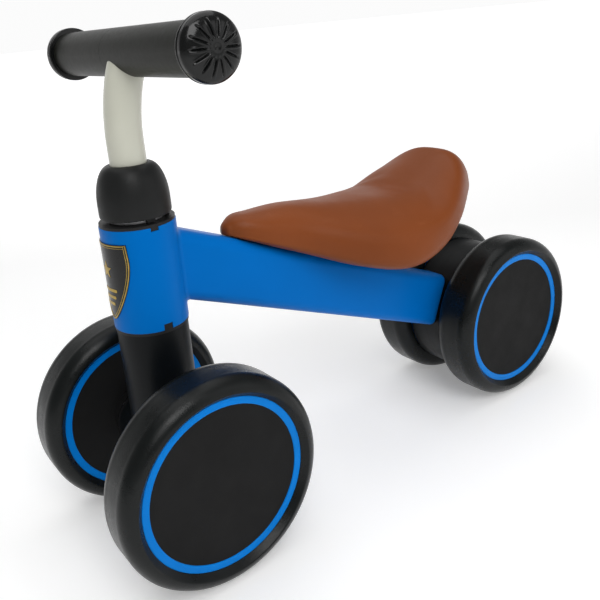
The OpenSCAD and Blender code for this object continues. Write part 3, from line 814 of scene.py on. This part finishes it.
pad_lo, pad_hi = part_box("saddle_pad")
saddle_front, saddle_len = pad_hi.x, pad_hi.x - pad_lo.x
saddle_half = (pad_hi.y - pad_lo.y) / 2

# [share of the length, share of the half-width, edge, top and bottom above the tube's top line]
STATIONS = np.array(
    [
        [0, 0, 2.2, 4, 0.5],
        [0.006, 0.075, 2.3, 8, 0.45],
        [0.02, 0.14, 2.8, 13.5, 0.4],
        [0.05, 0.23, 4.2, 19.5, 0.35],
        [0.10, 0.32, 6, 24.5, -0.4],
        [0.21, 0.46, 8, 35.5, -2.6],
        [0.36, 0.81, 9, 45, -3.4],
        [0.50, 1, 21, 57, 1],
        [0.635, 0.97, 47, 72, 19],
        [0.745, 0.83, 71, 97.5, 45],
        [0.855, 0.56, 92, 121.5, 70],
        [0.95, 0.26, 98, 105.5, 90],
        [1, 0, 100, 101, 99],
    ]
)


def tube_top(x):
    return tube_origin.z + (x - tube_origin.x) * math.tan(tube_a) + tube_h / 2 / math.cos(tube_a)


def station(u):
    """Smooth curve through the stations; u counts them from the nose."""
    i = min(int(u), len(STATIONS) - 2)
    t = u - i
    last = len(STATIONS) - 1
    a, b, c, d = (STATIONS[max(0, min(last, i + k))] for k in (-1, 0, 1, 2))
    return 0.5 * (
        2 * b + (c - a) * t + (2 * a - 5 * b + 4 * c - d) * t**2 + (3 * b - a - 3 * c + d) * t**3
    )


def saddle_point(rib, a):
    ca, sa = math.cos(a), math.sin(a)
    side = math.copysign(abs(ca) ** 0.75, ca)
    up = sa**0.9 if sa >= 0 else -((-sa) ** 0.5)
    rise = rib[3] - rib[2] if sa >= 0 else rib[2] - rib[4]
    x = saddle_front - rib[0] * saddle_len
    z = tube_top(x) + (rib[2] + rise * up) * MM
    if sa > 0:
        dish = 0.8 * MM * math.exp(-(((rib[0] - 0.76) / 0.17) ** 2))
        z -= dish * max(0, 1 - (side / 0.72) ** 2) ** 2
    return Vector((x, saddle_half * rib[1] * side, z))


def saddle_mesh(name, around=72, per=9):
    ribs = [station(k / per) for k in range(1, (len(STATIONS) - 1) * per)]
    nose, tail = STATIONS[0], STATIONS[-1]
    verts = [saddle_point(rib, 2 * math.pi * j / around) for rib in ribs for j in range(around)]
    verts += [saddle_point(nose, 0), saddle_point(tail, 0)]
    n = len(ribs)
    faces = []
    for i in range(n - 1):
        for j in range(around):
            m = (j + 1) % around
            faces.append((i * around + j, i * around + m, (i + 1) * around + m, (i + 1) * around + j))
    for j in range(around):
        m = (j + 1) % around
        faces.append((n * around, m, j))
        faces.append((n * around + 1, (n - 1) * around + j, (n - 1) * around + m))
    obj = new_object(name, verts, faces)
    fix_normals(obj)
    return obj


def apply_modifier(obj, name):
    bpy.ops.object.select_all(action="DESELECT")
    obj.select_set(True)
    bpy.context.view_layer.objects.active = obj
    bpy.ops.object.modifier_apply(modifier=name)


def coords(obj):
    co = np.empty(len(obj.data.vertices) * 3)
    obj.data.vertices.foreach_get("co", co)
    return co.reshape(-1, 3)


def set_coords(obj, co):
    obj.data.vertices.foreach_set("co", co.ravel())
    obj.data.update()


def puff(obj, pressure, cap, shrink, pinned):
    """Fills the skin with air for 20 frames, then limits how far each point has moved."""
    start = coords(obj)
    normals = np.array([v.normal for v in obj.data.vertices])
    set_coords(obj, start - normals * shrink * (1 - pinned)[:, None])
    small = coords(obj)
    group = obj.vertex_groups.new(name="held")
    for i, w in enumerate(pinned):
        if w > 0:
            group.add([i], float(w), "REPLACE")
    cloth = obj.modifiers.new("Cloth", "CLOTH")
    cs = cloth.settings
    cs.quality = 6
    cs.mass = 0.3
    cs.tension_stiffness = 22
    cs.compression_stiffness = 22
    cs.shear_stiffness = 12
    cs.bending_stiffness = 3
    cs.use_pressure = True
    cs.uniform_pressure_force = pressure
    cs.effector_weights.gravity = 0
    cs.vertex_group_mass = "held"
    cloth.collision_settings.use_collision = False
    cloth.collision_settings.use_self_collision = False
    scene = bpy.context.scene
    for f in range(1, 21):
        scene.frame_set(f)
    apply_modifier(obj, "Cloth")
    scene.frame_set(1)
    move = coords(obj) - small
    size = np.linalg.norm(move, axis=1)
    move *= np.minimum(1, cap / np.maximum(size, 1e-9))[:, None]
    set_coords(obj, small + move)
    obj.vertex_groups.clear()


def prism(name, outline, z0, z1):
    """Upright prism in the tube's frame, from (s, y) points on the tube's top line."""
    s0 = -tube_origin.x / math.cos(tube_a) + tube_h / 2 * math.tan(tube_a)
    n = len(outline)
    verts = [tube_point(s0 + s, y, tube_h / 2 + z) for z in (z0, z1) for s, y in outline]
    faces = [tuple(range(n))[::-1], tuple(range(n, 2 * n))]
    faces += [(k, (k + 1) % n, n + (k + 1) % n, n + k) for k in range(n)]
    obj = new_object(name, verts, faces, smooth=False)
    fix_normals(obj)
    return obj


def cut(obj, tool):
    m = obj.modifiers.new("cut", "BOOLEAN")
    m.operation = "DIFFERENCE"
    m.solver = "EXACT"
    m.use_self = True
    m.use_hole_tolerant = True
    m.object = tool
    apply_modifier(obj, "cut")
    bpy.data.objects.remove(tool)


def one_shell(obj, near):
    """Welds slivers shorter than near, keeps the largest shell and closes it."""
    bm = bmesh.new()
    bm.from_mesh(obj.data)
    bmesh.ops.remove_doubles(bm, verts=bm.verts, dist=near)
    bmesh.ops.dissolve_degenerate(bm, dist=near, edges=bm.edges)
    left = set(bm.faces)
    shells = []
    while left:
        todo = [left.pop()]
        shell = []
        while todo:
            face = todo.pop()
            shell.append(face)
            for e in face.edges:
                for other in e.link_faces:
                    if len(e.link_faces) == 2 and other in left:
                        left.remove(other)
                        todo.append(other)
        shells.append(shell)
    shells.sort(key=len)
    loose = [f for shell in shells[:-1] for f in shell]
    bmesh.ops.delete(bm, geom=loose, context="FACES")
    bmesh.ops.holes_fill(bm, edges=[e for e in bm.edges if e.is_boundary], sides=0)
    bmesh.ops.recalc_face_normals(bm, faces=bm.faces)
    bm.to_mesh(obj.data)
    bm.free()
    obj.data.update()


def board_outline(margin):
    """Outline of the board under the pad: two round ends and straight sides."""
    ca = math.cos(tube_a)
    nose_s = (saddle_front - 0.115 * saddle_len) / ca
    tail_s = (saddle_front - 0.42 * saddle_len) / ca
    r0, r1 = saddle_half * 0.19 + margin, saddle_half * 0.65 + margin
    lean = math.degrees(math.asin((r1 - r0) / (nose_s - tail_s)))
    front = arc(nose_s, 0, r0, -(90 - lean), 90 - lean, 14)
    back = arc(tail_s, 0, r1, 90 - lean, 270 + lean, 26)
    return front + back


def build_saddle():
    pad = saddle_mesh("saddle_cushion")
    co = coords(pad)
    line = np.array([tube_top(x) for x in co[:, 0]])
    share = np.interp(saddle_front - co[:, 0], STATIONS[:, 0] * saddle_len, STATIONS[:, 2]) * MM
    under = np.clip((line + share - co[:, 2]) / (3 * MM), 0, 1)
    ends = np.minimum(saddle_front - co[:, 0], co[:, 0] - saddle_front + saddle_len)
    held = np.maximum(under, np.clip(2 - ends / (2 * MM), 0, 1))
    puff(pad, 4.0, 2.0 * MM, 0.8 * MM, held)
    before = coords(pad)
    m = pad.modifiers.new("smooth", "SMOOTH")
    m.factor = 0.5
    m.iterations = 6
    apply_modifier(pad, "smooth")
    line = np.array([tube_top(x) for x in before[:, 0]])
    hold = np.clip((line + 7 * MM - before[:, 2]) / (5 * MM), 0, 1)[:, None]
    set_coords(pad, before * hold + coords(pad) * (1 - hold))
    m = pad.modifiers.new("fine", "SUBSURF")
    m.levels = 1
    apply_modifier(pad, "fine")
    one_shell(pad, 0.1 * MM)
    cut(pad, prism("pocket", board_outline(0.5 * MM), -30 * MM, 8.0 * MM))
    one_shell(pad, 0.02 * MM)
    sharpen(pad, 50)
    dress(pad, "saddle_skin", "frame", "saddle_skin", "saddle_pad")


build_saddle()


# ---------- camera, light and floor ----------


def build_camera():
    data = bpy.data.cameras.new("camera")
    cam = bpy.data.objects.new("camera", data)
    bpy.context.scene.collection.objects.link(cam)
    yaw, pitch, roll = -2.1615, -0.2974, -0.0976
    forward = Vector((math.cos(pitch) * math.cos(yaw), math.cos(pitch) * math.sin(yaw), math.sin(pitch)))
    right0 = forward.cross(Vector((0, 0, 1))).normalized()
    up0 = right0.cross(forward)
    right = math.cos(roll) * right0 + math.sin(roll) * up0
    up = -math.sin(roll) * right0 + math.cos(roll) * up0
    m = Matrix((right, up, -forward)).transposed().to_4x4()
    m.translation = Vector((0.3568, 0.4330, 0.3627))
    cam.matrix_world = m
    data.lens = 42.67
    data.sensor_width = 36
    data.shift_x = 0.057
    data.shift_y = -0.1035
    data.clip_start = 0.01
    bpy.context.scene.camera = cam


def area_light(name, place, target, size, power, color=(1, 1, 1)):
    data = bpy.data.lights.new(name, "AREA")
    data.shape = "RECTANGLE"
    data.size, data.size_y = size
    data.energy = power
    data.color = color
    obj = bpy.data.objects.new(name, data)
    bpy.context.scene.collection.objects.link(obj)
    obj.location = place
    obj.rotation_euler = (Vector(target) - Vector(place)).to_track_quat("-Z", "Y").to_euler()
    return obj


def build_floor():
    rings = [30, 18, 11, 7, 5, 4, 3.4, 2.9, 2.5, 2.2, 1.9, 1.6, 1.3, 1.0, 0.7, 0.4, 0.2]
    profile = [(0, -0.02), (30, -0.02)] + [(r, -0.0005) for r in rings] + [(0, -0.0005)]
    floor = lathe("floor", profile, Matrix.Identity(4), 64)
    m = Mat("floor", srgb(247, 247, 247), 0.85, spec=0.15)
    m.drift(1.5, 0.99, 1.0)
    away = m.nodes.new("ShaderNodeVectorMath")
    away.operation = "DOT_PRODUCT"
    away.inputs[1].default_value = (-0.56, -0.83, 0)
    m.links.new(m.coord, away.inputs[0])
    glow = m.remap(away.outputs["Value"], 0.6, 2.4, 0.24, 0.95)
    m.links.new(glow, m.shader.inputs["Emission Strength"])
    m.shader.inputs["Emission Color"].default_value = (1, 1, 1, 1)
    floor.data.materials.append(m.done(0.03, 3))


def build_world():
    """White at the horizon behind the bike, a softer grey overhead and in front of it."""
    world = bpy.data.worlds.new("studio")
    world.use_nodes = True
    nodes, links = world.node_tree.nodes, world.node_tree.links
    way = nodes.new("ShaderNodeTexCoord").outputs["Generated"]
    split = nodes.new("ShaderNodeSeparateXYZ")
    links.new(way, split.inputs[0])
    behind = nodes.new("ShaderNodeVectorMath")
    behind.operation = "DOT_PRODUCT"
    behind.inputs[1].default_value = (-0.56, -0.83, 0)
    links.new(way, behind.inputs[0])

    def ramp(value, *ends):
        n = nodes.new("ShaderNodeMapRange")
        for key, v in zip(("From Min", "From Max", "To Min", "To Max"), ends):
            n.inputs[key].default_value = v
        links.new(value, n.inputs["Value"])
        return n.outputs["Result"]

    low = ramp(split.outputs["Z"], 0.1, 0.4, 1.0, 0.0)
    strength = nodes.new("ShaderNodeMath")
    strength.operation = "MULTIPLY_ADD"
    links.new(low, strength.inputs[0])
    links.new(ramp(behind.outputs["Value"], -0.1, 0.8, 0.0, 0.75), strength.inputs[1])
    strength.inputs[2].default_value = 0.22
    links.new(strength.outputs[0], nodes["Background"].inputs["Strength"])
    nodes["Background"].inputs["Color"].default_value = (1, 1, 1, 1)
    bpy.context.scene.world = world


def build_studio():
    build_floor()
    build_world()
    area_light("key", (0.55, 1.2, 1.35), (0.0, 0, 0.15), (0.9, 0.9), 13)
    area_light("fill", (-0.9, 1.5, 0.8), (0, 0, 0.15), (1.4, 1.2), 5)
    area_light("top", (0.0, -0.1, 1.7), (0, 0, 0.1), (1.8, 1.8), 15)
    area_light("back", (-0.3, -1.6, 0.9), (0, 0, 0.15), (1.6, 1.0), 3)
    bpy.context.scene.view_settings.view_transform = "Standard"


build_camera()
build_studio()
